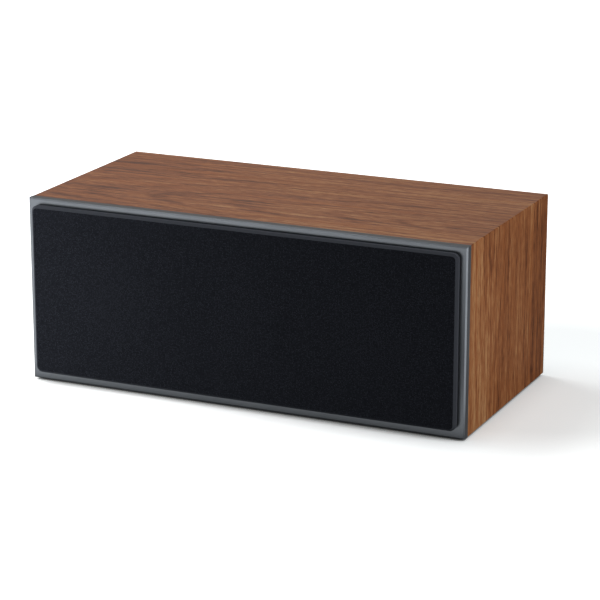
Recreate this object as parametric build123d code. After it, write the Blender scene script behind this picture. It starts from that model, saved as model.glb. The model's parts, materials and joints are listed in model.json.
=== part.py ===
from build123d import *
from math import copysign, sqrt
import os

# Centre channel loudspeaker, in millimetres. Z is up, X runs along the width and the front faces -Y.
# The origin is on the floor, under the middle of the overall box.
# Turned pieces are drawn as (radius, depth) profiles: depth is measured along the piece's own axis.

# Cabinet
cabinet_width = 515.0
cabinet_height = 207.5
body_depth = 250.0  # front face of the baffle to the back of the sleeve
sleeve_wall = 15.0
fold_radius = 1.0
panel_clearance = 0.3  # glue gap round panels that slide into the sleeve
brace_thickness = 12.0
brace_offset = 66.0
brace_window_border = 30.0
brace_window_radius = 20.0
pad_thickness = 20.0
pad_border = 18.0
pad_radius = 6.0

# Feet
foot_height = 2.5
foot_radius = 12.0
foot_edge = 0.6
foot_inset = 40.0

# Front baffle
baffle_flange = 10.0
baffle_plug = 12.0
baffle_chamfer = 1.5
cutout_clearance = 0.5  # radial room round a driver in its cut-out

# Back panel
back_thickness = 15.0
back_inset = 2.0
rear_flange = 2.0  # port and terminal flanges fill the inset of the back panel

# Grille
grille_proud = 8.8
grille_margin_side = 7.4
grille_margin_top = 6.4
grille_margin_bottom = 9.9
grille_corner = 7.0
grille_edge = 2.6  # bevel round the front
grille_gap = 2.8  # shadow gap behind the cloth
grille_foot_inset = 4.0
grille_bar = 11.0
grille_rib = 9.0
cloth_thickness = 0.6
cloth_clearance = 0.1
magnet_radius = 2.5
magnet_thickness = 3.0
magnet_clearance = 0.1

# Woofer
woofer_end_margin = 11.0  # flange to the sleeve's end wall
woofer_window_margin = 0.25  # flange inside the edge of the grille's window
driver_gap = 14.5  # tweeter faceplate to woofer flange
woofer_sink = 2.0  # flange front face behind the baffle face
woofer_flange = 5.0
woofer_flange_width = 12.5
gasket_thickness = 1.0
gasket_width = 3.0
basket_wall = 2.5
basket_mouth_depth = 12.0
basket_cup_radius = 53.0
basket_shelf_depth = 34.0
basket_shelf_radius = 43.0
basket_floor_depth = 42.0
basket_floor = 3.0
basket_floor_hole = 27.0
basket_windows = 6
basket_window_width = 34.0
basket_window_height = 15.0
basket_window_corner = 3.0
lip_seat_width = 5.2
lip_seat_depth = 1.5
trim_inset = 1.5
trim_width = 9.0
trim_thickness = 2.5
trim_edge = 1.0
roll_radius = 5.0
roll_wall = 1.0
surround_lip_width = 3.0
suspension_gap = 0.3  # soft suspension parts stay clear of what moves
cone_rim_lap = 0.2  # cone rim under the surround's inner lip
cone_neck_radius = 16.5
cone_neck_depth = 27.5
cone_flare_radius = 74.0  # radius of the curve that the cone's side follows
cone_thickness = 0.9
cap_radius = 22.0
cap_height = 7.0
cap_thickness = 0.8
former_radius = 16.0
former_wall = 0.35
former_front_depth = 26.0
coil_wall = 0.85
coil_length = 12.0
magnet_gap = 0.7
pole_clearance = 0.6
top_plate_radius = 42.0
top_plate = 6.0
ferrite_outer = 46.0
ferrite_inner = 24.0
ferrite_thickness = 16.0
back_plate = 6.0
plate_chamfer = 1.5
spider_wall = 0.6
spider_half_waves = 8
spider_wave = 1.2
spider_outer = 49.0
spider_lip = 5.0
tag_block = (3.0, 18.0, 8.0)  # radial, tangential and axial size
tag_size = (6.0, 4.0, 0.8)
tag_pitch = 9.0
woofer_screws_per_driver = 6
woofer_screw_inset = 3.5
woofer_screw_head = 3.2
woofer_screw_shank = 1.7
woofer_screw_length = 16.0
screw_clearance = 0.1

# Tweeter
tweeter_plate_radius = 52.0
tweeter_plate = 4.0
tweeter_boss_radius = 37.5
tweeter_boss_depth = 9.0
waveguide_mouth = 42.0
waveguide_throat = 19.5
waveguide_depth = 6.0
dome_radius = 12.9
dome_depth = 3.0
dome_thickness = 0.4
dome_rim_depth = 7.6
tweeter_coil_wall = 0.7
tweeter_coil_depth = 13.4
tweeter_gap = 0.5
tweeter_roll = 1.2
tweeter_motor_radius = 34.0
tweeter_top_plate = 4.0
tweeter_magnet = 12.0
tweeter_magnet_inner = 18.0
tweeter_back_plate = 5.0
rear_cap_depth = 14.0
rear_cap_wall = 2.0
tweeter_screws = 4
tweeter_screw_circle = 46.5
tweeter_screw_head = 2.9
tweeter_screw_shank = 1.5
tweeter_screw_length = 14.0

# Bass-reflex ports
port_end_margin = 93.5  # port axis to the sleeve's end wall
port_bore = 23.0
port_wall = 3.0
port_length = 95.0
port_flange_radius = 40.0
port_flare = 13.0
port_collar_radius = 31.5
port_collar_depth = 8.0
port_taper = 6.0
port_hole_clearance = 0.5

# Terminal cup and binding posts
cup_width = 88.0
cup_height = 54.0
cup_depth = 30.0
cup_wall = 2.5
cup_floor = 3.0
cup_corner = 8.0
cup_flange_border = 12.0
cup_clearance = 0.5
cup_screw_inset = 5.5
cup_screw_head = 2.8
cup_screw_shank = 1.5
cup_screw_length = 14.0
post_pitch = 32.0
stud_radius = 3.5
stud_length = 26.0
stud_tail = 12.0
stud_hole_clearance = 0.2
collar_radius = 7.0
collar_thickness = 3.0
banana_radius = 2.05
banana_depth = 18.5
wire_hole_radius = 1.3
washer_radius = 7.5
washer_thickness = 1.2
seat_gap = 0.1
knob_radius = 8.5
knob_flutes = 18
knob_flute_radius = 1.0
knob_clearance = 0.6
knob_overhang = 1.4  # knob past the end of its post
knob_edge = 0.8
nut_across_flats = 10.0
nut_thickness = 4.0

# Crossover
board_length = 104.0
board_width = 96.0
board_thickness = 1.6
board_centre_y = 15.0
standoff_height = 8.0
standoff_radius = 3.5
standoff_inset = 6.0
# x, y, outer radius, inner radius and height of each coil
coil_specs = ((-27.0, -24.0, 22.0, 10.0, 18.0), (28.0, -26.0, 17.0, 8.0, 14.0))
# x, y, radius and length of each capacitor
capacitor_specs = ((-24.0, 16.0, 8.5, 36.0), (24.0, 8.0, 7.0, 30.0), (24.0, 28.0, 7.0, 30.0))
resistor_specs = ((-24.0, 36.0), (24.0, 42.0))  # x, y
resistor_size = (38.0, 7.0, 8.0)

# Internal leads
wire_radius = 1.1
wire_bend = 5.0
wire_pitch = 6.0
wire_edge = 5.0
wire_rise = 24.0
wire_drop = 9.0

# Places that follow from the sizes
overall_depth = body_depth + grille_proud
cloth_face_y = -overall_depth / 2
baffle_face_y = cloth_face_y + grille_proud
sleeve_front_y = baffle_face_y + baffle_flange
baffle_back_y = sleeve_front_y + baffle_plug
body_back_y = overall_depth / 2
back_face_y = body_back_y - back_inset
back_inner_y = back_face_y - back_thickness
body_mid_z = foot_height + cabinet_height / 2
inner_width = cabinet_width - 2 * sleeve_wall
inner_height = cabinet_height - 2 * sleeve_wall
floor_z = foot_height + sleeve_wall
plug_width = inner_width - 2 * panel_clearance
plug_height = inner_height - 2 * panel_clearance
woofer_face_y = baffle_face_y + woofer_sink
room_along = inner_width / 2 - woofer_end_margin - tweeter_plate_radius - driver_gap
room_across = cabinet_height / 2 - grille_margin_bottom - grille_bar - woofer_window_margin
woofer_flange_radius = min(room_along / 2, room_across)  # the largest flange that both rooms take
woofer_offset = tweeter_plate_radius + driver_gap + woofer_flange_radius
woofer_screw_circle = woofer_flange_radius - woofer_screw_inset
basket_mouth = woofer_flange_radius - woofer_flange_width
lip_seat_radius = basket_mouth + lip_seat_width
trim_outer = woofer_flange_radius - trim_inset
trim_inner = trim_outer - trim_width
cone_rim_radius = basket_mouth - 2 * roll_radius + cone_rim_lap
port_offset = inner_width / 2 - port_end_margin
cup_floor_y = body_back_y - cup_depth
hem_y = baffle_face_y - grille_gap
grille_width = cabinet_width - 2 * grille_margin_side
grille_height = cabinet_height - grille_margin_top - grille_margin_bottom
grille_mid_z = foot_height + grille_margin_bottom + grille_height / 2
grille_land = grille_bar - grille_foot_inset  # width of the rim that stands on the baffle
rib_offset = (tweeter_plate_radius + woofer_offset - trim_outer) / 2
surround_back = lip_seat_depth - suspension_gap
cone_rim_depth = surround_back + suspension_gap
top_plate_front = basket_floor_depth + basket_floor
board_z = floor_z + standoff_height
sides = {"left": -1, "right": 1}
polarities = {"positive": -1, "negative": 1}


def slab(outline, y_front, y_back):
    """Extrudes an outline drawn in X and Z between two depths."""
    return extrude(Plane.XZ.offset(-y_back) * outline, amount=y_back - y_front)


def turned(*edges):
    """Revolves a closed (radius, depth) profile about the local Z axis."""
    return revolve(Plane.XZ * make_face(edges), Axis.Z)


def turned_polygon(*points):
    return turned(*Polyline(*points, close=True).edges())


def facing_back(x, y, z):
    """Frame of a piece whose depth runs into the cabinet from the front."""
    return Plane(origin=(x, y, z), x_dir=(1, 0, 0), z_dir=(0, 1, 0))


def facing_front(x, y, z):
    """Frame of a piece whose depth runs into the cabinet from the back."""
    return Plane(origin=(x, y, z), x_dir=(1, 0, 0), z_dir=(0, -1, 0))


def countersunk(head, shank, length, grow=0.0):
    """Countersunk screw, or with grow the hole that it needs."""
    sink = head - shank
    return turned_polygon(
        (0, 0),
        (head + grow, 0),
        (shank + grow, sink),
        (shank + grow, length),
        (0, length + shank),
    )


def place_all(locations, shape):
    """Copies of a shape, one at each location."""
    return [location * shape for location in locations]


def ring_of(count, circle, shape):
    return place_all(PolarLocations(circle, count, start_angle=180 / count), shape)


def dome_arc(radius, rise, depth):
    """Arc from a dome's rim to its crown, which lies rise in front of the rim."""
    sphere = (radius**2 + rise**2) / (2 * rise)
    crown = depth - rise
    middle = radius / 2
    middle_depth = crown + sphere - copysign(sqrt(sphere**2 - middle**2), sphere)
    return ThreePointArc((radius, depth), (middle, middle_depth), (0, crown))


def group(shapes):
    return Compound(list(shapes))


def save(name, shape):
    export_step(shape, f"parts/{name}.step")


def cabinet_sleeve():
    """Four walls folded from one board, open at the front and the back."""
    outer = RectangleRounded(cabinet_width, cabinet_height, fold_radius)
    inner = Rectangle(inner_width, inner_height)
    return slab(Pos(0, body_mid_z) * (outer - inner), sleeve_front_y, body_back_y)


def woofer_frame(side):
    return facing_back(side * woofer_offset, woofer_face_y, body_mid_z)


def tweeter_frame():
    return facing_back(0, baffle_face_y, body_mid_z)


def woofer_screw(grow=0.0):
    return countersunk(woofer_screw_head, woofer_screw_shank, woofer_screw_length, grow)


def woofer_screw_ring(grow=0.0):
    return ring_of(woofer_screws_per_driver, woofer_screw_circle, woofer_screw(grow))


def tweeter_screw_ring(grow=0.0):
    screw = countersunk(tweeter_screw_head, tweeter_screw_shank, tweeter_screw_length, grow)
    return ring_of(tweeter_screws, tweeter_screw_circle, screw)


def stepped_hole(seat, seat_depth, way):
    """Cutter for a driver: a seat for its flange and a way through the baffle for its body."""
    end = baffle_flange + baffle_plug
    points = [(0, -end), (seat, -end), (seat, seat_depth), (way, seat_depth), (way, end), (0, end)]
    return turned_polygon(*points)


def woofer_cutout():
    seat = woofer_flange_radius + cutout_clearance
    way = basket_mouth + basket_wall + cutout_clearance
    return stepped_hole(seat, woofer_flange + gasket_thickness, way)


def tweeter_cutout():
    seat = tweeter_plate_radius + cutout_clearance
    way = tweeter_boss_radius + cutout_clearance
    return stepped_hole(seat, tweeter_plate, way)


def magnet_places():
    """Places of the grille's magnets: two on each side bar, one at mid-length above and below."""
    side = grille_width / 2 - grille_foot_inset - grille_land / 2
    end = grille_height / 2 - grille_foot_inset - grille_land / 2
    places = [Pos(x * side, z * grille_height / 3) for x in (-1, 1) for z in (-1, 1)]
    return [Pos(0, grille_mid_z) * place for place in places + [Pos(0, -end), Pos(0, end)]]


def magnet_discs(y_front, y_back, grow=0.0):
    return [slab(place * Circle(magnet_radius + grow), y_front, y_back) for place in magnet_places()]


def front_baffle():
    """Lacquered panel: a chamfered flange over the sleeve's end and a plug inside it."""
    middle = Pos(0, body_mid_z)
    flange = slab(middle * Rectangle(cabinet_width, cabinet_height), baffle_face_y, sleeve_front_y)
    flange = chamfer(flange.faces().sort_by(Axis.Y)[0].edges(), baffle_chamfer)
    panel = flange + slab(middle * Rectangle(plug_width, plug_height), sleeve_front_y, baffle_back_y)
    for side in sides.values():
        panel -= woofer_frame(side) * woofer_cutout()
        panel -= place_all([woofer_frame(side).location], group(woofer_screw_ring(screw_clearance)))
    panel -= tweeter_frame() * tweeter_cutout()
    panel -= place_all([tweeter_frame().location], group(tweeter_screw_ring(screw_clearance)))
    return panel - magnet_discs(baffle_face_y, baffle_face_y + magnet_thickness, magnet_clearance)


def cup_outline(grow):
    corner = cup_corner + grow
    return RectangleRounded(cup_width + 2 * grow, cup_height + 2 * grow, corner)


def cup_screw_places():
    half_x = cup_width / 2 + cup_flange_border - cup_screw_inset
    half_z = cup_height / 2 + cup_flange_border - cup_screw_inset
    return [facing_front(x * half_x, body_back_y, body_mid_z + z * half_z) for x in (-1, 1) for z in (-1, 1)]


def cup_screw(grow=0.0):
    return countersunk(cup_screw_head, cup_screw_shank, cup_screw_length, grow)


def back_panel():
    """Board let into the back of the sleeve, with cut-outs for the ports and the terminal cup."""
    panel = slab(Pos(0, body_mid_z) * Rectangle(plug_width, plug_height), back_inner_y, back_face_y)
    port_hole = Circle(port_collar_radius + port_hole_clearance)
    for side in sides.values():
        panel -= slab(Pos(side * port_offset, body_mid_z) * port_hole, back_inner_y, back_face_y)
    panel -= slab(Pos(0, body_mid_z) * cup_outline(cup_wall + cup_clearance), back_inner_y, back_face_y)
    for place in cup_screw_places():
        panel -= place * cup_screw(screw_clearance)
    return panel


def brace(side):
    """Upright window brace between the baffle and the back panel."""
    length = back_inner_y - baffle_back_y
    outline = Rectangle(length, inner_height)
    window = RectangleRounded(
        length - 2 * brace_window_border, inner_height - 2 * brace_window_border, brace_window_radius
    )
    plate = extrude(Plane.YZ * (outline - window), amount=brace_thickness / 2, both=True)
    return Pos(side * brace_offset, (back_inner_y + baffle_back_y) / 2, body_mid_z) * plate


def damping_pad(side):
    """Soft wadding against an end wall."""
    length = back_inner_y - baffle_back_y - 2 * pad_border
    height = inner_height - 2 * pad_border
    pad = Box(pad_thickness, length, height)
    inner_edges = pad.faces().sort_by(Axis.X)[0].edges()
    pad = fillet(inner_edges, pad_radius)
    turn = Rot(0, 0, 0) if side > 0 else Rot(0, 0, 180)
    middle_y = (back_inner_y + baffle_back_y) / 2
    return Pos(side * (inner_width - pad_thickness) / 2, middle_y, body_mid_z) * turn * pad


def foot_places():
    x = cabinet_width / 2 - foot_inset
    rows = (sleeve_front_y + foot_inset, body_back_y - foot_inset)
    return [Pos(side * x, y, 0) for side in (-1, 1) for y in rows]


def rubber_foot():
    foot = turned_polygon((0, 0), (foot_radius, 0), (foot_radius, foot_height), (0, foot_height))
    return chamfer(foot.faces().sort_by(Axis.Z)[0].edges(), foot_edge)


def port_tube(side):
    """Flared tube: a curved mouth in a flange, a collar through the back panel and a straight bore."""
    outer = port_bore + port_wall
    collar_end = rear_flange + port_collar_depth
    end = rear_flange + port_length
    mouth = port_bore + port_flare
    half = port_flare * (1 - sqrt(0.5))
    outside = Polyline(
        (mouth, 0),
        (port_flange_radius, 0),
        (port_flange_radius, rear_flange),
        (port_collar_radius, rear_flange),
        (port_collar_radius, collar_end),
        (outer, collar_end + port_taper),
        (outer, end),
        (port_bore, end),
        (port_bore, port_flare),
    )
    flare = ThreePointArc((port_bore, port_flare), (port_bore + half, half), (mouth, 0))
    return facing_front(side * port_offset, body_back_y, body_mid_z) * turned(outside, flare)


def woofer_basket():
    """Cast frame: a flange, six legs between windows, a shelf for the spider and a floor for the motor."""
    mouth_outer = basket_mouth + basket_wall
    floor_end = basket_floor_depth + basket_floor
    shelf_outer = basket_cup_radius - basket_wall
    frame = turned_polygon(
        (lip_seat_radius, 0),
        (woofer_flange_radius, 0),
        (woofer_flange_radius, woofer_flange),
        (mouth_outer, woofer_flange),
        (mouth_outer, basket_mouth_depth),
        (basket_cup_radius, basket_shelf_depth),
        (basket_cup_radius, floor_end),
        (basket_floor_hole, floor_end),
        (basket_floor_hole, basket_floor_depth),
        (basket_shelf_radius, basket_floor_depth),
        (basket_shelf_radius, basket_shelf_depth),
        (shelf_outer, basket_shelf_depth),
        (basket_mouth, basket_mouth_depth),
        (basket_mouth, lip_seat_depth),
        (lip_seat_radius, lip_seat_depth),
    )
    middle = (basket_mouth_depth + basket_shelf_depth) / 2
    opening = RectangleRounded(basket_window_width, basket_window_height, basket_window_corner)
    side_plane = Plane.YZ.offset(basket_shelf_radius)
    window = extrude(side_plane * Pos(0, middle) * opening, amount=basket_shelf_radius)
    frame -= place_all(PolarLocations(0, basket_windows), window)
    return frame - woofer_screw_ring(screw_clearance)


def woofer_gasket():
    inner = basket_mouth + basket_wall + cutout_clearance
    return tube(inner, inner + gasket_width, woofer_flange, woofer_flange + gasket_thickness)


def tube(inner, outer, front, back):
    return turned_polygon((inner, front), (outer, front), (outer, back), (inner, back))


def woofer_trim_ring():
    """Ring that hides the screws and the surround's lip, with rounded front edges."""
    ring = tube(trim_inner, trim_outer, -trim_thickness, 0)
    return fillet(ring.faces().sort_by(Axis.Z)[0].edges(), trim_edge)


def woofer_surround():
    """Rubber half-roll between the flange's seat and the cone's rim."""
    middle = basket_mouth - roll_radius
    back = surround_back
    front = back - roll_wall
    reach = sqrt(roll_radius**2 - roll_wall**2)
    inner_edge = middle - roll_radius - surround_lip_width
    outer_edge = lip_seat_radius - suspension_gap
    inner_roll = roll_radius - roll_wall
    crest = back - roll_radius
    return turned(
        Line((outer_edge, front), (middle + reach, front)),
        ThreePointArc((middle + reach, front), (middle, crest), (middle - reach, front)),
        Polyline(
            (middle - reach, front),
            (inner_edge, front),
            (inner_edge, back),
            (middle - inner_roll, back),
        ),
        ThreePointArc((middle - inner_roll, back), (middle, crest + roll_wall), (middle + inner_roll, back)),
        Polyline((middle + inner_roll, back), (outer_edge, back), (outer_edge, front)),
    )


def flare_depth(radius):
    """Depth of the cone's front face at a radius."""
    run = cone_rim_radius - cone_neck_radius
    drop = cone_neck_depth - cone_rim_depth
    chord = sqrt(run**2 + drop**2)
    apothem = sqrt(cone_flare_radius**2 - chord**2 / 4)
    centre_radius = (cone_rim_radius + cone_neck_radius) / 2 + apothem * drop / chord
    centre_depth = (cone_neck_depth + cone_rim_depth) / 2 + apothem * run / chord
    return centre_depth - sqrt(cone_flare_radius**2 - (radius - centre_radius) ** 2)


def woofer_cone():
    """Thin flared cone, open at its neck."""
    middle = (cone_rim_radius + cone_neck_radius) / 2
    front = [(radius, flare_depth(radius)) for radius in (cone_rim_radius, middle, cone_neck_radius)]
    back = [(radius, depth + cone_thickness) for radius, depth in reversed(front)]
    rims = (Line(front[2], back[0]), Line(back[2], front[0]))
    return turned(ThreePointArc(*front), rims[0], ThreePointArc(*back), rims[1])


def woofer_dust_cap():
    """Domed cap that closes the cone's neck."""
    rim = flare_depth(cap_radius) - panel_clearance / 2
    outside = dome_arc(cap_radius, cap_height, rim)
    inside = dome_arc(cap_radius - cap_thickness, cap_height - cap_thickness, rim)
    crown = rim - cap_height
    return turned(
        outside,
        Line((0, crown), (0, crown + cap_thickness)),
        inside,
        Line((cap_radius - cap_thickness, rim), (cap_radius, rim)),
    )


def woofer_voice_coil():
    """Former glued in the cone's neck, with its winding centred in the magnet's gap."""
    former_outer = former_radius + former_wall
    coil_outer = former_outer + coil_wall
    coil_front = top_plate_front + top_plate / 2 - coil_length / 2
    coil_back = coil_front + coil_length
    return turned_polygon(
        (former_radius, former_front_depth),
        (former_outer, former_front_depth),
        (former_outer, coil_front),
        (coil_outer, coil_front),
        (coil_outer, coil_back),
        (former_radius, coil_back),
    )


def spider_waves(start, end, depth):
    """Alternating arcs of the spider's corrugations, from one radius to another."""
    step = (end - start) / spider_half_waves
    first = -1 if end < start else 1
    waves = []
    for number in range(spider_half_waves):
        sign = first if number % 2 == 0 else -first
        near = start + number * step
        crest = depth + sign * spider_wave
        waves.append(ThreePointArc((near, depth), (near + step / 2, crest), (near + step, depth)))
    return waves


def woofer_spider():
    """Corrugated disc that centres the voice coil, glued to the basket's shelf."""
    inner = former_radius + former_wall + suspension_gap
    flat_inner = inner + coil_wall
    flat_outer = spider_outer - spider_lip
    back = basket_shelf_depth
    front = back - spider_wall
    return turned(
        Line((spider_outer, front), (flat_outer, front)),
        *spider_waves(flat_outer, flat_inner, front),
        Polyline((flat_inner, front), (inner, front), (inner, back), (flat_inner, back)),
        *spider_waves(flat_inner, flat_outer, back),
        Polyline((flat_outer, back), (spider_outer, back), (spider_outer, front)),
    )


def woofer_top_plate():
    inner = former_radius + former_wall + coil_wall + magnet_gap
    return tube(inner, top_plate_radius, top_plate_front, top_plate_front + top_plate)


def woofer_magnet():
    """Ferrite ring with broken outer edges."""
    front = top_plate_front + top_plate
    back = front + ferrite_thickness
    edge = ferrite_outer - plate_chamfer
    return turned_polygon(
        (ferrite_inner, front),
        (edge, front),
        (ferrite_outer, front + plate_chamfer),
        (ferrite_outer, back - plate_chamfer),
        (edge, back),
        (ferrite_inner, back),
    )


def woofer_yoke():
    """Back plate and pole in one piece."""
    pole = former_radius - pole_clearance
    front = top_plate_front + top_plate + ferrite_thickness
    end = front + back_plate
    return turned_polygon(
        (0, top_plate_front),
        (pole, top_plate_front),
        (pole, front),
        (top_plate_radius, front),
        (top_plate_radius, end - plate_chamfer),
        (top_plate_radius - plate_chamfer, end),
        (0, end),
    )


def woofer_terminal(side):
    """Solder tags on the side of the basket that faces the middle of the cabinet."""
    radial, tangential, axial = tag_block
    inner = basket_cup_radius + suspension_gap
    middle = (basket_shelf_depth + basket_floor_depth + basket_floor) / 2
    strip = Pos(inner + radial / 2, 0, middle) * Box(radial, tangential, axial)
    for place in (-tag_pitch / 2, tag_pitch / 2):
        strip += Pos(inner + radial + tag_size[0] / 2, place, middle) * Box(*tag_size)
    return Rot(0, 0, 90 * (1 + side)) * strip


def tweeter_faceplate():
    """Flange with a shallow waveguide and a boss that locates the motor."""
    face = turned_polygon(
        (waveguide_mouth, 0),
        (tweeter_plate_radius, 0),
        (tweeter_plate_radius, tweeter_plate),
        (tweeter_boss_radius, tweeter_plate),
        (tweeter_boss_radius, tweeter_boss_depth),
        (waveguide_throat, tweeter_boss_depth),
        (waveguide_throat, waveguide_depth),
    )
    return face - tweeter_screw_ring(screw_clearance)


def tweeter_diaphragm():
    """Inverted dome with its voice coil."""
    coil_inner = dome_radius - tweeter_coil_wall
    inner_rim = dome_rim_depth + 2 * dome_thickness
    crown = dome_rim_depth + dome_depth
    inside = dome_arc(coil_inner, inner_rim - crown - dome_thickness, inner_rim)
    return turned(
        dome_arc(dome_radius, -dome_depth, dome_rim_depth),
        Line((0, crown), (0, crown + dome_thickness)),
        inside,
        Polyline(
            (coil_inner, inner_rim),
            (coil_inner, tweeter_coil_depth),
            (dome_radius, tweeter_coil_depth),
            (dome_radius, dome_rim_depth),
        ),
    )


def tweeter_surround():
    inner = dome_radius + suspension_gap
    outer = waveguide_throat - suspension_gap
    back = tweeter_boss_depth
    front = back - 2 * dome_thickness
    roll_end = inner + (outer - inner) * 2 / 3
    middle = (inner + roll_end) / 2
    return turned(
        ThreePointArc((inner, front), (middle, front - tweeter_roll), (roll_end, front)),
        Polyline((roll_end, front), (outer, front), (outer, back), (roll_end, back)),
        ThreePointArc((roll_end, back), (middle, back - tweeter_roll), (inner, back)),
        Line((inner, back), (inner, front)),
    )


def tweeter_top_plate_ring():
    back = tweeter_boss_depth + tweeter_top_plate
    return tube(dome_radius + tweeter_gap, tweeter_motor_radius, tweeter_boss_depth, back)


def tweeter_magnet_ring():
    front = tweeter_boss_depth + tweeter_top_plate
    return tube(tweeter_magnet_inner, tweeter_motor_radius, front, front + tweeter_magnet)


def tweeter_yoke():
    pole = dome_radius - tweeter_coil_wall - tweeter_gap
    pole_front = dome_rim_depth + dome_depth + 3 * dome_thickness
    front = tweeter_boss_depth + tweeter_top_plate + tweeter_magnet
    end = front + tweeter_back_plate
    return turned_polygon(
        (0, pole_front),
        (pole, pole_front),
        (pole, front),
        (tweeter_motor_radius, front),
        (tweeter_motor_radius, end),
        (0, end),
    )


def tweeter_rear_cap():
    """Closed chamber behind the tweeter's motor."""
    front = tweeter_boss_depth + tweeter_top_plate + tweeter_magnet + tweeter_back_plate
    end = front + rear_cap_depth
    inner = tweeter_motor_radius - rear_cap_wall
    return turned_polygon(
        (inner, front),
        (tweeter_motor_radius, front),
        (tweeter_motor_radius, end),
        (0, end),
        (0, end - rear_cap_wall),
        (inner, end - rear_cap_wall),
    )


def grille_plate(inset, y_front, y_back):
    """Rounded plate inside the grille's outline, with its front edge bevelled."""
    outline = RectangleRounded(grille_width - 2 * inset, grille_height - 2 * inset, grille_corner - inset)
    plate = slab(Pos(0, grille_mid_z) * outline, y_front, y_back)
    bevel = grille_edge - (2 - sqrt(2)) * inset  # keeps the inset even round the bevel
    return chamfer(plate.faces().sort_by(Axis.Y)[0].edges(), bevel)


def grille_foot_outline(grow=0.0):
    width = grille_width - 2 * grille_foot_inset + 2 * grow
    height = grille_height - 2 * grille_foot_inset + 2 * grow
    return Pos(0, grille_mid_z) * RectangleRounded(width, height, grille_corner + grow)


def grille_frame():
    """Moulded frame: bevelled bars, a foot rim that stands on the baffle and two ribs."""
    skin = cloth_thickness + cloth_clearance
    back = hem_y - skin
    front = cloth_face_y + skin
    plate = grille_plate(skin, front, back)
    plate += slab(grille_foot_outline(), back, baffle_face_y)
    window_width = grille_width - 2 * grille_bar
    window_height = grille_height - 2 * grille_bar
    window = Pos(0, grille_mid_z) * RectangleRounded(window_width, window_height, grille_corner)
    plate -= slab(window, front, baffle_face_y)
    rib = Rectangle(grille_rib, window_height)
    for side in sides.values():
        plate += slab(Pos(side * rib_offset, grille_mid_z) * rib, front, back)
    return plate - magnet_discs(baffle_face_y - magnet_thickness, baffle_face_y, magnet_clearance)


def grille_cloth():
    """Cloth drawn over the frame's front and edges and hemmed behind it."""
    skin = grille_plate(0, cloth_face_y, hem_y)
    skin -= grille_plate(cloth_thickness, cloth_face_y + cloth_thickness, hem_y - cloth_thickness)
    return skin - slab(grille_foot_outline(cloth_clearance), hem_y - 2 * cloth_thickness, hem_y)


def post_frame(side):
    return facing_back(side * post_pitch / 2, cup_floor_y, body_mid_z)


def terminal_cup():
    """Moulded cup let into the back panel, with a flange and a flat floor for the binding posts."""
    middle = Pos(0, body_mid_z)
    tub = slab(middle * cup_outline(cup_wall), cup_floor_y - cup_floor, body_back_y)
    cup = tub + slab(middle * cup_outline(cup_flange_border), back_face_y, body_back_y)
    cup -= slab(middle * cup_outline(0), cup_floor_y, body_back_y)
    hole = Circle(stud_radius + stud_hole_clearance)
    for side in polarities.values():
        place = Pos(side * post_pitch / 2, body_mid_z)
        cup -= slab(place * hole, cup_floor_y - cup_floor, cup_floor_y)
    for place in cup_screw_places():
        cup -= place * cup_screw(screw_clearance)
    return cup


def binding_stud():
    """Brass post with a collar, a banana socket in its end and a cross hole for bare wire."""
    bore_front = stud_length - banana_depth
    post = turned_polygon(
        (0, -stud_tail),
        (stud_radius, -stud_tail),
        (stud_radius, 0),
        (collar_radius, 0),
        (collar_radius, collar_thickness),
        (stud_radius, collar_thickness),
        (stud_radius, stud_length),
        (banana_radius, stud_length),
        (banana_radius, bore_front),
        (0, bore_front),
    )
    cross = Plane.XZ * Pos(0, (collar_thickness + bore_front) / 2) * Circle(wire_hole_radius)
    return post - extrude(cross, amount=collar_radius, both=True)


def clamp_washer():
    front = collar_thickness + seat_gap
    return tube(stud_radius + knob_clearance, washer_radius, front, front + washer_thickness)


def post_knob():
    """Fluted insulated nut, open at its end for a banana plug."""
    front = collar_thickness + washer_thickness + 2 * seat_gap
    end = stud_length + knob_overhang
    bore = stud_radius + knob_clearance
    body = turned_polygon(
        (bore, front),
        (knob_radius, front),
        (knob_radius, end - knob_edge),
        (knob_radius - knob_edge, end),
        (bore, end),
    )
    flute = extrude(Pos(0, 0, front) * Circle(knob_flute_radius), amount=end - front)
    return body - place_all(PolarLocations(knob_radius, knob_flutes), flute)


def stud_nut():
    back = -cup_floor
    hexagon = RegularPolygon(nut_across_flats / 2, 6, major_radius=False)
    hexagon -= Circle(stud_radius + screw_clearance)
    return extrude(Pos(0, 0, back - nut_thickness) * hexagon, amount=nut_thickness)


def crossover_board():
    """Circuit board on four standoffs, all one moulding with the board's carrier."""
    middle = Pos(0, board_centre_y, board_z)
    board = middle * Pos(0, 0, board_thickness / 2) * Box(board_length, board_width, board_thickness)
    reach_x = board_length - 2 * standoff_inset
    reach_y = board_width - 2 * standoff_inset
    stand = Pos(0, 0, -standoff_height / 2) * Cylinder(standoff_radius, standoff_height)
    for place in GridLocations(reach_x, reach_y, 2, 2):
        board += middle * place * stand
    return board


def on_board(x, y, height=0.0):
    return Pos(x, board_centre_y + y, board_z + board_thickness + height)


def crossover_coils():
    for x, y, outer, inner, height in coil_specs:
        yield on_board(x, y) * tube(inner, outer, 0, height)


def crossover_capacitors():
    for x, y, radius, length in capacitor_specs:
        yield on_board(x, y, radius) * Rot(0, 90, 0) * Cylinder(radius, length)


def crossover_resistors():
    for x, y in resistor_specs:
        yield on_board(x, y, resistor_size[2] / 2) * Box(*resistor_size)


def wire(*points):
    """Insulated lead along straight runs with rounded bends."""
    path = FilletPolyline(*points, radius=wire_bend)
    return sweep((path ^ 0) * Circle(wire_radius), path=path)


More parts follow.
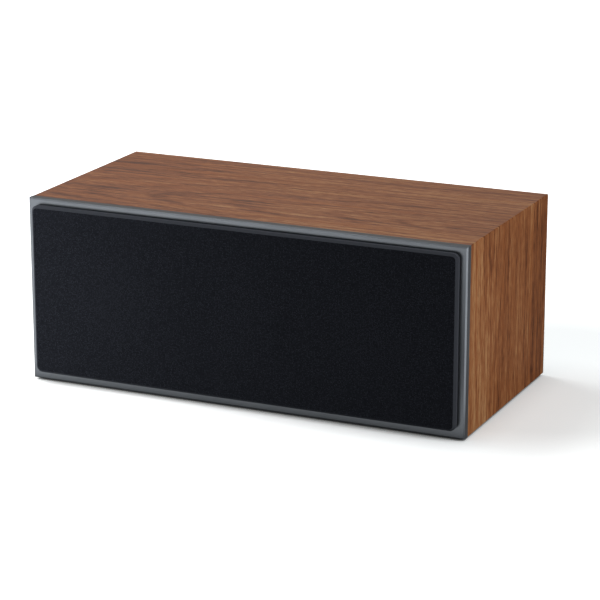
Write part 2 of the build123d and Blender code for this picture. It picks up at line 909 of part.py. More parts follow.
def internal_wires():
    """Pairs of leads from the crossover to the woofers, the tweeter and the binding posts."""
    front_row = board_centre_y - board_width / 2 + wire_edge
    back_row = board_centre_y + board_width / 2 - wire_edge
    board_top = board_z + board_thickness
    tag_y = woofer_face_y + (basket_shelf_depth + basket_floor_depth + basket_floor) / 2
    tag_x = woofer_offset - basket_cup_radius - suspension_gap - tag_block[0] - tag_size[0]
    low_z = board_top + wire_rise
    yoke_y = baffle_face_y + tweeter_boss_depth + tweeter_top_plate + tweeter_magnet + tweeter_back_plate / 2
    yoke_z = body_mid_z - tweeter_motor_radius - suspension_gap
    tail_y = cup_floor_y - stud_tail - suspension_gap
    for pair in (-1, 1):
        tag_z = body_mid_z + pair * tag_pitch / 2
        for side in sides.values():
            lead_x = side * (tag_x - wire_radius)
            board_x = side * (board_length / 2 - wire_edge - (1 + pair) * wire_pitch / 2)
            yield wire(
                (lead_x, tag_y - wire_radius, tag_z),
                (lead_x, front_row, tag_z),
                (board_x, front_row, tag_z),
                (board_x, front_row, board_top),
            )
        x = pair * wire_pitch / 2
        yield wire((x, front_row, board_top), (x, front_row, low_z), (x, yoke_y, low_z), (x, yoke_y, yoke_z))
        post_x = pair * post_pitch / 2
        drop_y = tail_y - wire_drop
        yield wire(
            (post_x, tail_y, body_mid_z),
            (post_x, drop_y, body_mid_z),
            (x, drop_y, body_mid_z),
            (x, drop_y, low_z),
            (x, back_row, low_z),
            (x, back_row, board_top),
        )


woofer_pieces = {
    "basket": woofer_basket,
    "gasket": woofer_gasket,
    "trim_ring": woofer_trim_ring,
    "surround": woofer_surround,
    "cone": woofer_cone,
    "dust_cap": woofer_dust_cap,
    "voice_coil": woofer_voice_coil,
    "spider": woofer_spider,
    "top_plate": woofer_top_plate,
    "magnet": woofer_magnet,
    "yoke": woofer_yoke,
}
tweeter_pieces = {
    "faceplate": tweeter_faceplate,
    "diaphragm": tweeter_diaphragm,
    "surround": tweeter_surround,
    "top_plate": tweeter_top_plate_ring,
    "magnet": tweeter_magnet_ring,
    "yoke": tweeter_yoke,
    "rear_cap": tweeter_rear_cap,
}
post_pieces = {"stud": binding_stud, "washer": clamp_washer, "knob": post_knob}

os.makedirs("parts", exist_ok=True)
save("cabinet_sleeve", cabinet_sleeve())
save("front_baffle", front_baffle())
save("back_panel", back_panel())
save("rubber_feet", group(place_all(foot_places(), rubber_foot())))
for name, side in sides.items():
    save(f"brace_{name}", brace(side))
    save(f"damping_pad_{name}", damping_pad(side))
    save(f"port_tube_{name}", port_tube(side))
    for piece, make in woofer_pieces.items():
        save(f"woofer_{name}_{piece}", woofer_frame(side) * make())
woofer_frames = [woofer_frame(side) for side in sides.values()]
save("woofer_screws", group(frame * screw for frame in woofer_frames for screw in woofer_screw_ring()))
save("woofer_terminals", group(woofer_frame(side) * woofer_terminal(side) for side in sides.values()))
for piece, make in tweeter_pieces.items():
    save(f"tweeter_{piece}", tweeter_frame() * make())
save("tweeter_screws", group(tweeter_frame() * screw for screw in tweeter_screw_ring()))
save("grille_frame", grille_frame())
save("grille_cloth", grille_cloth())
save("grille_magnets", group(magnet_discs(baffle_face_y - magnet_thickness, baffle_face_y)))
save("baffle_catch_plates", group(magnet_discs(baffle_face_y, baffle_face_y + magnet_thickness)))
save("terminal_cup", terminal_cup())
save("terminal_screws", group(place * cup_screw() for place in cup_screw_places()))
for name, side in polarities.items():
    for piece, make in post_pieces.items():
        save(f"post_{name}_{piece}", post_frame(side) * make())
save("post_nuts", group(post_frame(side) * stud_nut() for side in polarities.values()))
save("crossover_board", crossover_board())
save("crossover_coils", group(crossover_coils()))
save("crossover_capacitors", group(crossover_capacitors()))
save("crossover_resistors", group(crossover_resistors()))
save("internal_wires", group(internal_wires()))
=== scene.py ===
import bpy
import json
import math
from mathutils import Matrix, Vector


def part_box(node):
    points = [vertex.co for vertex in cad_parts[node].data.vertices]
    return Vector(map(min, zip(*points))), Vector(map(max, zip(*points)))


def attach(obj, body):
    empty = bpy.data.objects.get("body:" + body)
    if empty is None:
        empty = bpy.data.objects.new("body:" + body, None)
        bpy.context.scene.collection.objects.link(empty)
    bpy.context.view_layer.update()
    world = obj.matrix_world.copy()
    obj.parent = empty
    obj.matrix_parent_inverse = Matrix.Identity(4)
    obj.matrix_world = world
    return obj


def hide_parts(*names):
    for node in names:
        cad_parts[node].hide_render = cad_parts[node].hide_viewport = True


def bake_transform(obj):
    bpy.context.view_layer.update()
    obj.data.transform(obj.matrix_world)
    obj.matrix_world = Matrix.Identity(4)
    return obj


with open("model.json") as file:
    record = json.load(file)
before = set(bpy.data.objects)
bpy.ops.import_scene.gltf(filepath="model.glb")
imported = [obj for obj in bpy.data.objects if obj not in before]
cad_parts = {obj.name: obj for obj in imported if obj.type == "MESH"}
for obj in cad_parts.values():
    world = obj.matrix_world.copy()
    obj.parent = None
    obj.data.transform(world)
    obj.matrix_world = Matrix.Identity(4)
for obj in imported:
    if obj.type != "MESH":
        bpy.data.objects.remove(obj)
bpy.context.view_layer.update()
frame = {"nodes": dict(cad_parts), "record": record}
nodes = frame["nodes"]
MM = 0.001


# Small helpers


def colour(code):
    """Linear colour of an sRGB hex code."""
    parts = [int(code[i : i + 2], 16) / 255 for i in (0, 2, 4)]
    return [c / 12.92 if c <= 0.04045 else ((c + 0.055) / 1.055) ** 2.4 for c in parts] + [1.0]


def add(tree, kind, inputs=None, **settings):
    """Adds a node with its settings; each input is a value, or the output that it is linked to."""
    node = tree.nodes.new(kind)
    for name, value in settings.items():
        setattr(node, name, value)
    for socket, value in (inputs or {}).items():
        if isinstance(value, bpy.types.NodeSocket):
            tree.links.new(value, node.inputs[socket])
        else:
            node.inputs[socket].default_value = value
    return node


def calc(tree, operation, *terms):
    """Result of one math step on values and outputs."""
    return add(tree, "ShaderNodeMath", dict(enumerate(terms)), operation=operation).outputs[0]


def mapped(tree, source, start, end, low=0.0, high=1.0):
    """Spreads the values from start to end over low to high, held at both ends."""
    return add(tree, "ShaderNodeMapRange", {0: source, 1: start, 2: end, 3: low, 4: high}).outputs[0]


def mixed(tree, share, first, second):
    """Colour between two others, by the share of the second."""
    return add(tree, "ShaderNodeMix", {0: share, 6: first, 7: second}, data_type="RGBA").outputs[2]


def ramped(tree, source, *stops):
    """Colours of a pattern's values; each stop is a value and a hex code."""
    node = add(tree, "ShaderNodeValToRGB", {0: source})
    elements = node.color_ramp.elements
    while len(elements) < len(stops):
        elements.new(0.5)
    for element, (position, code) in zip(elements, stops):
        element.position = position
        element.color = colour(code)
    return node.outputs[0]


def speckle(tree, place, scale, detail, roughness=0.5):
    """Soft random pattern."""
    inputs = {"Vector": place, "Scale": scale, "Detail": detail, "Roughness": roughness}
    return add(tree, "ShaderNodeTexNoise", inputs).outputs[0]


def facing(tree, axis):
    """How far the surface faces along an axis."""
    normal = add(tree, "ShaderNodeTexCoord").outputs["Normal"]
    return add(tree, "ShaderNodeSeparateXYZ", {0: normal}).outputs[axis]


def empty_tree(owner):
    """Cleared node tree of a material or a world."""
    owner.use_nodes = True
    owner.node_tree.nodes.clear()
    return owner.node_tree


def new_material(name):
    """A material with its node tree, its shader and its object coordinates."""
    material = bpy.data.materials.new(name)
    tree = empty_tree(material)
    shader = add(tree, "ShaderNodeBsdfPrincipled")
    add(tree, "ShaderNodeOutputMaterial", {"Surface": shader.outputs[0]})
    place = add(tree, "ShaderNodeTexCoord").outputs["Object"]
    return material, tree, shader, place


def bumped(tree, shader, height, depth):
    """Raises the surface by a height pattern, to a depth in metres."""
    bump = add(tree, "ShaderNodeBump", {"Height": height, "Strength": 1.0, "Distance": depth})
    tree.links.new(bump.outputs[0], shader.inputs["Normal"])


# Materials


def walnut_foil():
    """Walnut-grain vinyl foil, printed and satin.

    The eye sees arched growth rings, long streaks and short dark pores.
    """
    material, tree, shader, place = new_material("walnut_foil")
    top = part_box("cabinet_sleeve")[1].z
    axes = add(tree, "ShaderNodeSeparateXYZ", {0: place}).outputs
    # One sheet of foil runs over the top and down both ends.
    # So the way along the grain goes on past each fold.
    side = calc(tree, "SIGN", axes["X"])
    drop = calc(tree, "SUBTRACT", top, axes["Z"])
    along = calc(tree, "MULTIPLY_ADD", side, drop, axes["X"])
    sheet = add(tree, "ShaderNodeCombineXYZ", {"X": along, "Y": axes["Y"]}).outputs[0]

    def grain(length, width, detail, seed):
        """Pattern whose marks have a length along the grain and a width across it, in mm."""
        scale = (1 / (length * MM), 1 / (width * MM), 1.0)
        moved = {0: sheet, "Scale": scale, "Location": (seed, seed, seed)}
        return speckle(tree, add(tree, "ShaderNodeMapping", moved).outputs[0], 1.0, detail, 0.55)

    def weighed(source, weight, total):
        """Adds a weighed pattern to a total."""
        return calc(tree, "MULTIPLY_ADD", source, weight, total)

    # The rings are long ovals round a spot by the right-hand fold.
    # So they arch over the top and down that end.
    ring_pitch = 15 * MM
    squeeze, ring_x, ring_y = 0.17, 0.255, -0.048
    tilt = {0: sheet, "Location": (-ring_x * squeeze, -ring_y, 0), "Scale": (squeeze, 1, 0)}
    oval = add(tree, "ShaderNodeMapping", tilt).outputs[0]
    radius = add(tree, "ShaderNodeVectorMath", {0: oval}, operation="LENGTH").outputs["Value"]
    bent = weighed(grain(190, 50, 1.0, 3.1), 24 * MM, radius)
    bent = weighed(grain(40, 12, 1.0, 4.6), 5 * MM, bent)
    wave = calc(tree, "SINE", calc(tree, "MULTIPLY", bent, 2 * math.pi / ring_pitch))
    line = mapped(tree, wave, 0.1, 1.0)
    patchy = mapped(tree, grain(260, 45, 1.0, 8.3), 0.35, 0.65)
    rings = calc(tree, "MULTIPLY", line, patchy)
    streak = grain(240, 4.6, 3.0, 1.3)
    tone = weighed(grain(380, 38, 2.0, 7.7), 0.38, -0.85)
    tone = weighed(streak, 1.1, tone)
    tone = weighed(grain(45, 2.8, 2.0, 2.4), 0.85, tone)
    tone = weighed(grain(13, 1.9, 1.0, 6.9), 0.75, tone)
    tone = weighed(rings, -0.22, tone)
    # Painted shade: the foil is drawn darker over the left of the top and towards the back of the
    # right-hand end, where less light falls.
    left_painted_shade = mapped(tree, along, 0.02, -0.24)
    end_part = mapped(tree, along, 0.25, 0.29)
    back_painted_shade = mapped(tree, axes["Y"], -0.11, 0.11, -0.5)
    tone = weighed(left_painted_shade, -0.19, tone)
    tone = weighed(calc(tree, "MULTIPLY", end_part, back_painted_shade), -0.24, tone)
    browns = ramped(tree, tone, (0.15, "572e17"), (0.5, "8f5530"), (0.72, "a76b40"), (1.0, "c08e60"))
    warmth = mapped(tree, grain(480, 15, 1.0, 5.2), 0.56, 0.78, 0.0, 0.5)
    toned = mixed(tree, warmth, browns, colour("a5602f"))
    pits = mapped(tree, grain(7, 0.7, 2.0, 9.4), 0.58, 0.70, 0.0, 0.5)
    grained = mixed(tree, pits, toned, colour("35190d"))
    # The sleeve's cut ends at the front and the back are stained dark.
    cut = calc(tree, "GREATER_THAN", calc(tree, "ABSOLUTE", facing(tree, "Y")), 0.7)
    stained = mixed(tree, cut, grained, colour("241813"))
    tree.links.new(stained, shader.inputs["Base Color"])
    tree.links.new(mapped(tree, streak, 0.2, 0.8, 0.42, 0.54), shader.inputs["Roughness"])
    shader.inputs["IOR"].default_value = 1.48
    shader.inputs["Specular IOR Level"].default_value = 0.3
    bumped(tree, shader, calc(tree, "MULTIPLY", pits, -1.0), 0.05 * MM)
    return material


def grain_finish(name, dark, light, grain, roughness, depth, metallic=0.0, stretch=(1, 1, 1)):
    """A finish with a fine grain, at a grain size in mm.

    The eye sees two close tones, uneven gloss and a slight relief.
    """
    material, tree, shader, place = new_material(name)
    scale = [share / (grain * MM) for share in stretch]
    spread = add(tree, "ShaderNodeMapping", {0: place, "Scale": scale}).outputs[0]
    fine = speckle(tree, spread, 1.0, 3.0)
    slow = speckle(tree, place, 18.0, 2.0)
    both = calc(tree, "MULTIPLY_ADD", fine, 0.6, slow)
    tree.links.new(ramped(tree, both, (0.55, dark), (1.0, light)), shader.inputs["Base Color"])
    tree.links.new(mapped(tree, both, 0.5, 1.1, *roughness), shader.inputs["Roughness"])
    shader.inputs["Metallic"].default_value = metallic
    bumped(tree, shader, fine, depth * MM)
    return material


def knitted_cloth():
    """Tight black acoustic knit, open enough to hint at what is behind.

    The eye sees a soft fibre sheen over rows of tiny loops.
    """
    material, tree, shader, place = new_material("acoustic_knit")
    # Loops are about 0.6 mm in the real cloth and are drawn larger, as fine as the render can show.
    loop_size = (1.7 * MM, 3.0 * MM, 1.5 * MM)
    spread = {0: place, "Scale": [1 / size for size in loop_size]}
    cells = {"Vector": add(tree, "ShaderNodeMapping", spread).outputs[0], "Scale": 1.0, "Randomness": 0.45}
    loops = add(tree, "ShaderNodeTexVoronoi", cells).outputs["Distance"]
    fuzz = speckle(tree, place, 420.0, 1.0)
    shade = mapped(tree, calc(tree, "MULTIPLY_ADD", fuzz, 0.5, loops), 0.2, 1.1)
    tones = ramped(tree, shade, (0.0, "40434c"), (1.0, "23252b"))
    # Painted highlight: where the knit is pulled over the frame's edge, facing away from the front, it is
    # drawn paler, partly as its loops open there and partly for the light that catches the edge.
    fold = mapped(tree, facing(tree, "Y"), -0.97, -0.75)
    tree.links.new(mixed(tree, fold, tones, colour("4b4e55")), shader.inputs["Base Color"])
    shader.inputs["Roughness"].default_value = 0.92
    shader.inputs["IOR"].default_value = 1.4
    shader.inputs["Specular IOR Level"].default_value = 0.05
    shader.inputs["Sheen Weight"].default_value = 0.25
    shader.inputs["Sheen Roughness"].default_value = 0.5
    shader.inputs["Sheen Tint"].default_value = colour("8b919c")
    shader.inputs["Alpha"].default_value = 0.88
    bumped(tree, shader, loops, -0.15 * MM)
    return material


def metallic_lacquer():
    """Metallic grey lacquer on fibreboard.

    The eye sees a faintly clouded satin coat that softly mirrors the paper in front.
    """
    material, tree, shader, place = new_material("metallic_lacquer")
    cloud = speckle(tree, place, 1 / (60 * MM), 1.0)
    grey = ramped(tree, cloud, (0.3, "7d8288"), (0.7, "858a90"))
    # Painted shade: faces that point up are drawn near black, a dark line along the upper edge under the
    # wood.
    edge = mapped(tree, facing(tree, "Z"), 0.9, 0.95)
    tree.links.new(mixed(tree, edge, grey, colour("26272a")), shader.inputs["Base Color"])
    shader.inputs["Roughness"].default_value = 0.29
    shader.inputs["Metallic"].default_value = 0.7
    return material


def copper_winding():
    """Enamelled copper wire wound in layers: warm metal with fine turns round the coil."""
    material, tree, shader, place = new_material("enamelled_copper")
    bands = {"Vector": place, "Scale": 160.0, "Distortion": 0.4}
    turns = add(tree, "ShaderNodeTexWave", bands, bands_direction="Z").outputs["Fac"]
    copper = ramped(tree, turns, (0.1, "6e3417"), (0.8, "c0723a"))
    tree.links.new(copper, shader.inputs["Base Color"])
    shader.inputs["Metallic"].default_value = 1.0
    shader.inputs["Roughness"].default_value = 0.35
    bumped(tree, shader, turns, 0.3 * MM)
    return material


finishes = {
    "walnut_foil": walnut_foil(),
    "grille_fabric": knitted_cloth(),
    "copper_wire": copper_winding(),
    "grey_lacquer": metallic_lacquer(),
    # Black foil on fibreboard: a fine printed grain that barely catches the light.
    "black_foil_board": grain_finish(
        "black_ash_foil", "222224", "353538", 1.2, (0.5, 0.62), 0.06, stretch=(0.08, 1, 1)
    ),
    # Raw fibreboard: fuzzy, even and pale brown.
    "bare_fibreboard": grain_finish("raw_fibreboard", "8a6a48", "a98a63", 0.8, (0.85, 0.95), 0.1),
    # Lofted polyester: white tangled fibres.
    "wadding": grain_finish("polyester_wadding", "b9b9b4", "e6e6e2", 2.5, (0.95, 1.0), 1.2),
    # Soft black rubber of the stick-on feet.
    "foot_rubber": grain_finish("foot_rubber", "18181a", "2a2a2c", 0.7, (0.75, 0.9), 0.05),
    # Black ABS with a spark-eroded texture.
    "port_plastic": grain_finish("black_abs", "1a1a1c", "29292c", 0.6, (0.45, 0.6), 0.05),
    # Powder coat on cast alloy: a fine orange peel.
    "cast_frame": grain_finish("powder_coat", "1c1d20", "2c2d31", 0.5, (0.45, 0.6), 0.04),
    # Closed-cell foam: tiny dark pits.
    "gasket_foam": grain_finish("closed_cell_foam", "121213", "2b2b2d", 0.5, (0.85, 0.95), 0.12),
    # Satin anodised aluminium: pale grey metal with a very fine grain.
    "trim_aluminium": grain_finish(
        "satin_aluminium", "a9adb2", "c6c9cd", 0.4, (0.3, 0.42), 0.01, metallic=1.0
    ),
    # Butyl rubber roll: matte with a faint bloom.
    "suspension_rubber": grain_finish("butyl_rubber", "161618", "242427", 0.8, (0.6, 0.75), 0.02),
    # Pressed fibre cone: grey flecks of fibre under a thin skin.
    "fibre_cone": grain_finish("pressed_fibre", "44474b", "6a6d72", 1.1, (0.5, 0.7), 0.04),
    # Lacquered winding on an aluminium former: warm brown metal.
    "coil_former": grain_finish(
        "lacquered_winding", "8a5a30", "c08a55", 0.5, (0.3, 0.45), 0.05, metallic=1.0
    ),
    # Resin-dipped cotton: tan, with a rough grain.
    "spider_cloth": grain_finish("resin_cotton", "94702c", "c79c4b", 0.7, (0.7, 0.85), 0.12),
    # Zinc-plated steel: bright grey with a slight mottle.
    "plated_steel": grain_finish("zinc_plate", "9a9c9f", "c0c2c4", 2.0, (0.3, 0.42), 0.01, metallic=1.0),
    # Sintered ferrite: dense dark grey ceramic.
    "ferrite": grain_finish("sintered_ferrite", "2e2e30", "424245", 0.5, (0.55, 0.7), 0.03),
    # Black oxide on screw steel: dark metal with a soft shine.
    "black_screw_steel": grain_finish(
        "black_oxide", "1b1b1d", "303034", 0.3, (0.35, 0.5), 0.01, metallic=1.0
    ),
    # Tinned brass tags: pale yellow metal.
    "tag_strip": grain_finish("tinned_brass", "b29a5c", "d6c48a", 0.6, (0.3, 0.45), 0.01, metallic=1.0),
    # Satin black moulding round the dome.
    "faceplate_plastic": grain_finish("satin_moulding", "18191b", "26272a", 0.6, (0.38, 0.5), 0.02),
    # Formed alloy foil of the dome: bright silver.
    "dome_metal": grain_finish("alloy_foil", "b4b7bb", "d2d4d7", 0.6, (0.25, 0.36), 0.01, metallic=1.0),
    # Frame moulding behind the cloth: dull and nearly black.
    "frame_plastic": grain_finish("frame_moulding", "101012", "1c1c1e", 0.6, (0.6, 0.75), 0.03),
    # Gold flash over turned brass: bright yellow metal.
    "gilt_brass": grain_finish("gilt_brass", "c2933a", "e6bf6a", 0.4, (0.18, 0.3), 0.01, metallic=1.0),
    # Red and black insulated knobs: glossy moulded plastic.
    "red_knob": grain_finish("red_knob", "8c1418", "a81e23", 0.8, (0.25, 0.35), 0.01),
    "black_knob": grain_finish("black_knob", "121214", "1e1e20", 0.8, (0.25, 0.35), 0.01),
    # Epoxy laminate under a solder mask: smooth dark green.
    "circuit_board": grain_finish("solder_mask", "2f4a2c", "47683f", 0.9, (0.3, 0.4), 0.02),
    # Polyester film wrap on the capacitors: smooth dull yellow.
    "capacitor_wrap": grain_finish("film_wrap", "a08a34", "c7b053", 1.5, (0.3, 0.4), 0.02),
    # Cement resistor bodies: chalky white ceramic.
    "resistor_ceramic": grain_finish("cement_body", "c4c0b4", "e2dfd6", 0.6, (0.8, 0.9), 0.06),
    # Insulation on the internal leads: dull red.
    "wire_sleeve": grain_finish("lead_insulation", "7a2222", "963030", 0.7, (0.45, 0.55), 0.02),
}
for entry in frame["record"]["subparts"]:
    slots = nodes[entry["node"]].data.materials
    slots.clear()
    slots.append(finishes[entry["material_slot"]])


# Modelled pieces


def fresh_selection():
    """Leaves edit mode with nothing selected."""
    if bpy.context.mode != "OBJECT":
        bpy.ops.object.mode_set(mode="OBJECT")
    bpy.ops.object.select_all(action="DESELECT")


def pick(piece, kind, wanted):
    """Selects the faces or edges of a piece that pass a test, in edit mode."""
    bpy.ops.object.mode_set(mode="OBJECT")
    by_edge = kind == "edges"
    bpy.context.tool_settings.mesh_select_mode = (False, by_edge, not by_edge)
    mesh = piece.data
    for group in (mesh.vertices, mesh.edges, mesh.polygons):
        group.foreach_set("select", [False] * len(group))
    for item in getattr(mesh, kind):
        item.select = bool(wanted(item))
    bpy.ops.object.mode_set(mode="EDIT")


def apply_modifier(piece, kind, **settings):
    """Adds a modifier to the active piece and applies it."""
    modifier = piece.modifiers.new(kind.title(), kind)
    for name, value in settings.items():
        setattr(modifier, name, value)
    bpy.ops.object.modifier_apply(modifier=modifier.name)


def ends_of(piece, edge):
    """Places of an edge's two ends."""
    return [piece.data.vertices[i].co for i in edge.vertices]


def grille_cloth():
    """Cloth drawn tight over the grille's frame, folded round its edges and hemmed behind."""
    low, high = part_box("grille_cloth")
    size = high - low
    corner, bevel, hem, thickness = 7 * MM, 2.6 * MM, 3.9 * MM, 0.6 * MM
    touch = 1e-6

    def runs_deep(edge):
        """Whether an edge runs from the front to the back."""
        start, end = ends_of(cloth, edge)
        return abs((start - end).y) > size.y / 2

    def on_front(edge):
        """Whether an edge lies on the front."""
        return all(abs(point.y - low.y) < touch for point in ends_of(cloth, edge))

    fresh_selection()
    bpy.ops.mesh.primitive_cube_add(size=1, location=(low + high) / 2, scale=size)
    cloth = bpy.context.object
    cloth.name = "grille_cloth_knit"
    bpy.ops.object.transform_apply(location=True, rotation=True, scale=True)
    bpy.ops.object.mode_set(mode="EDIT")
    pick(cloth, "edges", runs_deep)
    bpy.ops.mesh.bevel(offset=corner, segments=8)
    pick(cloth, "edges", on_front)
    bpy.ops.mesh.bevel(offset=bevel, segments=1)
    pick(cloth, "polygons", lambda face: face.normal.y > 0.9)
    bpy.ops.mesh.inset(thickness=hem)
    bpy.ops.mesh.delete(type="FACE")
    columns, rows = 54, 20
    for i in range(1, columns):
        bpy.ops.mesh.select_all(action="SELECT")
        bpy.ops.mesh.bisect(plane_co=(low.x + size.x * i / columns, 0, 0), plane_no=(1, 0, 0))
    for i in range(1, rows):
        bpy.ops.mesh.select_all(action="SELECT")
        bpy.ops.mesh.bisect(plane_co=(0, 0, low.z + size.z * i / rows), plane_no=(0, 0, 1))
    bpy.ops.object.mode_set(mode="OBJECT")
    # The stretched cloth draws in a little over each window of the frame.
    bar, rib, rib_half, dip = 11 * MM, 60 * MM, 4.5 * MM, 0.4 * MM
    windows = (
        (low.x + bar, -rib - rib_half),
        (-rib + rib_half, rib - rib_half),
        (rib + rib_half, high.x - bar),
    )
    for point in cloth.data.vertices:
        if point.co.y > low.y + touch:
            continue
        rise = (point.co.z - low.z - bar) / (size.z - 2 * bar)
        for left, right in windows:
            run = (point.co.x - left) / (right - left)
            if 0 < run < 1 and 0 < rise < 1:
                point.co.y += dip * (math.sin(math.pi * run) * math.sin(math.pi * rise)) ** 2
    apply_modifier(cloth, "SOLIDIFY", thickness=thickness, offset=-1.0)
    bpy.ops.object.shade_smooth_by_angle(angle=math.radians(35))
    cloth.data.materials.clear()
    cloth.data.materials.append(finishes["grille_fabric"])
    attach(cloth, "grille")
    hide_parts("grille_cloth")


def woofer_surround(side):
    """Half-roll of rubber between the basket's flange and the cone's rim."""
    low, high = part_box(f"woofer_{side}_surround")
    middle = (low + high) / 2
    outer = (high.x - low.x) / 2
    roll, wall, lap = 4.5 * MM, 1.0 * MM, 3.0 * MM
    outer_lap, span = 4.9 * MM, 10 * MM
    seat = high.y - wall / 2
    crest = outer - outer_lap - span / 2
    inner = outer - outer_lap - span - lap
    centre = (middle.x, seat, middle.z)
    fresh_selection()
    bpy.ops.mesh.primitive_torus_add(
        major_segments=96,
        minor_segments=32,
        major_radius=crest,
        minor_radius=roll,
        location=centre,
        rotation=(math.pi / 2, 0, 0),
    )
    roll_piece = bpy.context.object
    roll_piece.name = f"woofer_{side}_rubber_roll"
    bpy.ops.object.transform_apply(location=True, rotation=True, scale=True)
    bpy.ops.object.mode_set(mode="EDIT")
    bpy.ops.mesh.select_all(action="SELECT")
    bpy.ops.mesh.bisect(plane_co=centre, plane_no=(0, 1, 0), clear_outer=True)

    def radius(point):
        """How far a point is from the woofer's axis."""
        return math.hypot(point.x - middle.x, point.z - middle.z)

    def on_rim(edge, rim):
        """Whether an edge lies on a rim of the roll, at a radius."""
        ends = ends_of(roll_piece, edge)
        seated = all(abs(point.y - seat) < 0.01 * MM for point in ends)
        return seated and all(abs(radius(point) - rim) < 0.2 * MM for point in ends)

    # Each rim of the roll gets a flat lip, out over the flange or in over the cone.
    for rim, lip in ((crest + roll, outer), (crest - roll, inner)):
        pick(roll_piece, "edges", lambda edge: on_rim(edge, rim))
        bpy.ops.mesh.extrude_edges_move()
        factor = lip / rim
        bpy.ops.transform.resize(value=(factor, 1, factor), center_override=centre)
    bpy.ops.object.mode_set(mode="OBJECT")
    apply_modifier(roll_piece, "SOLIDIFY", thickness=wall, offset=0.0)
    bpy.ops.object.shade_smooth_by_angle(angle=math.radians(50))
    roll_piece.data.materials.clear()
    roll_piece.data.materials.append(finishes["suspension_rubber"])
    # Each point is set for a moment at its radius along x, and then put back in its place.
    places = [point.co.copy() for point in roll_piece.data.vertices]
    for point in roll_piece.data.vertices:
        point.co = (radius(point.co), 0, 0)
    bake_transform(roll_piece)
    for point, place in zip(roll_piece.data.vertices, places):
        point.co = place
    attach(roll_piece, "cabinet")
    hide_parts(f"woofer_{side}_surround")


grille_cloth()
for side in ("left", "right"):
    woofer_surround(side)
fresh_selection()


# Studio


def studio_floor():
    """White paper sweep that keeps a soft shadow.

    The camera sees it glowing up to white away from the part, with painted shade close to it.
    As a source of light it is dim grey.
    In reflections it glows bright in front of the part, a painted reflection.
    """
    fresh_selection()
    bpy.ops.mesh.primitive_plane_add(size=12, location=(0, 0, 0))
    floor = bpy.context.object
    floor.name = "studio_floor"
    material = bpy.data.materials.new("white_paper")
    tree = empty_tree(material)
    place = add(tree, "ShaderNodeTexCoord").outputs["Object"]
    path = add(tree, "ShaderNodeLightPath").outputs

    def distance(spot):
        """How far the paper is from a spot on it."""
        return add(tree, "ShaderNodeVectorMath", {0: place, 1: spot}, operation="DISTANCE").outputs["Value"]

    def glowing(paint, strength):
        """Matt paper of a colour, with a glow of its own."""
        paper = add(tree, "ShaderNodeBsdfDiffuse", {"Color": paint}).outputs[0]
        glow = add(tree, "ShaderNodeEmission", {"Strength": strength}).outputs[0]
        return add(tree, "ShaderNodeAddShader", {0: paper, 1: glow}).outputs[0]

    # Painted shadow: the paper glows less beside the right-hand end, drawing the soft shadow there.
    painted_shadow_spot = (0.25, 0.12, 0.0)
    lift = mapped(tree, distance(painted_shadow_spot), 0.19, 0.44, 0.44, 1.05)
    # Painted shade: close to the part, where it is hemmed in, the paper's glow is drawn down by occlusion,
    # and under the part its glow and colour go dark.
    near = add(tree, "ShaderNodeAmbientOcclusion", {"Distance": 0.035}).outputs["AO"]
    under = mapped(tree, near, 0.05, 0.4, 0.05)
    shaded = calc(tree, "MULTIPLY", calc(tree, "POWER", near, 0.4), under)
    tint = mixed(tree, under, colour("000000"), colour("ecf2f3"))
    bright = glowing(tint, calc(tree, "MULTIPLY", lift, shaded))
    # Painted reflection: to glossy rays only, the paper in front of the part glows, less round a spot on
    # the camera's side, and the lacquer mirrors it.
    depth = add(tree, "ShaderNodeSeparateXYZ", {0: place}).outputs["Y"]
    front = mapped(tree, depth, -0.125, -0.17)
    reflection_dim_spot = (0.12, -0.45, 0.0)
    white = mapped(tree, distance(reflection_dim_spot), 0.1, 0.45, 0.1, 1.28)
    sheen = calc(tree, "MULTIPLY", front, white)
    plain = glowing(colour("747474"), calc(tree, "MULTIPLY", sheen, path["Is Glossy Ray"]))
    sheet = add(tree, "ShaderNodeMixShader", {0: path["Is Camera Ray"], 1: plain, 2: bright})
    add(tree, "ShaderNodeOutputMaterial", {"Surface": sheet.outputs[0]})
    floor.data.materials.append(material)


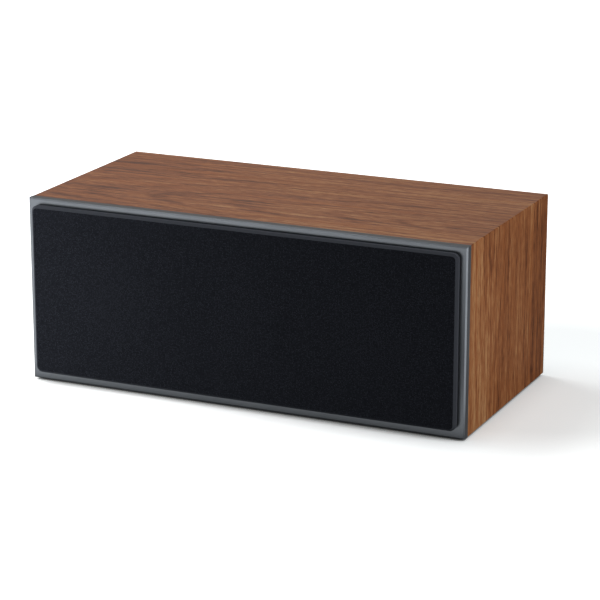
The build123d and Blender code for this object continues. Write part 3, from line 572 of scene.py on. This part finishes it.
def studio_world():
    """Even surroundings: white to the camera, softer as light and in reflections."""
    world = bpy.data.worlds.new("studio")
    bpy.context.scene.world = world
    tree = empty_tree(world)
    seen = add(tree, "ShaderNodeLightPath").outputs["Is Camera Ray"]
    strength = mapped(tree, seen, 0.0, 1.0, 0.07, 1.0)
    sky = add(tree, "ShaderNodeBackground", {"Strength": strength, "Color": (1, 1, 1, 1)})
    add(tree, "ShaderNodeOutputWorld", {"Surface": sky.outputs[0]})


def soft_box(name, place, target, width, height, power, mirrored=True):
    """Soft box aimed at a point, mirrored in the part or screened from its gloss."""
    light = bpy.data.lights.new(name, "AREA")
    light.shape = "RECTANGLE"
    light.size = width
    light.size_y = height
    light.energy = power
    lamp = bpy.data.objects.new(name, light)
    lamp.location = place
    lamp.rotation_euler = (Vector(target) - Vector(place)).to_track_quat("-Z", "Y").to_euler()
    lamp.visible_glossy = mirrored
    bpy.context.scene.collection.objects.link(lamp)


def photo_camera():
    """Camera at the photograph's angle: long lens, a little to the right and above."""
    azimuth, elevation = math.radians(24.397), math.radians(16.209)
    distance, right_by, up_by = 2.81878, 0.01383, 0.08786
    level = math.cos(elevation)
    back = Vector((math.sin(azimuth) * level, -math.cos(azimuth) * level, math.sin(elevation)))
    right = (-back).cross(Vector((0, 0, 1))).normalized()
    up = right.cross(-back)
    data = bpy.data.cameras.new("photo_camera")
    data.lens = 150.55
    data.sensor_width = 36.0
    data.clip_end = 50
    camera = bpy.data.objects.new("photo_camera", data)
    camera.location = right * right_by + up * up_by + back * distance
    camera.rotation_euler = (math.pi / 2 - elevation, 0, azimuth)
    bpy.context.scene.collection.objects.link(camera)
    bpy.context.scene.camera = camera


studio_floor()
studio_world()
soft_box("overhead_box", (-0.8, 0.2, 1.5), (-0.05, 0.0, 0.2), 1.0, 1.0, 15.8)
soft_box("back_box", (-0.65, 1.5, 0.8), (-0.05, 0.0, 0.2), 1.4, 0.8, 1.7)
soft_box("low_left_box", (-0.64, -0.48, 0.16), (-0.22, -0.12, 0.1), 0.3, 0.3, 2.35, mirrored=False)
soft_box("right_box", (1.2, -0.15, 0.4), (0.26, -0.05, 0.1), 0.6, 0.6, 6.3)
photo_camera()
bpy.context.scene.view_settings.view_transform = "Standard"
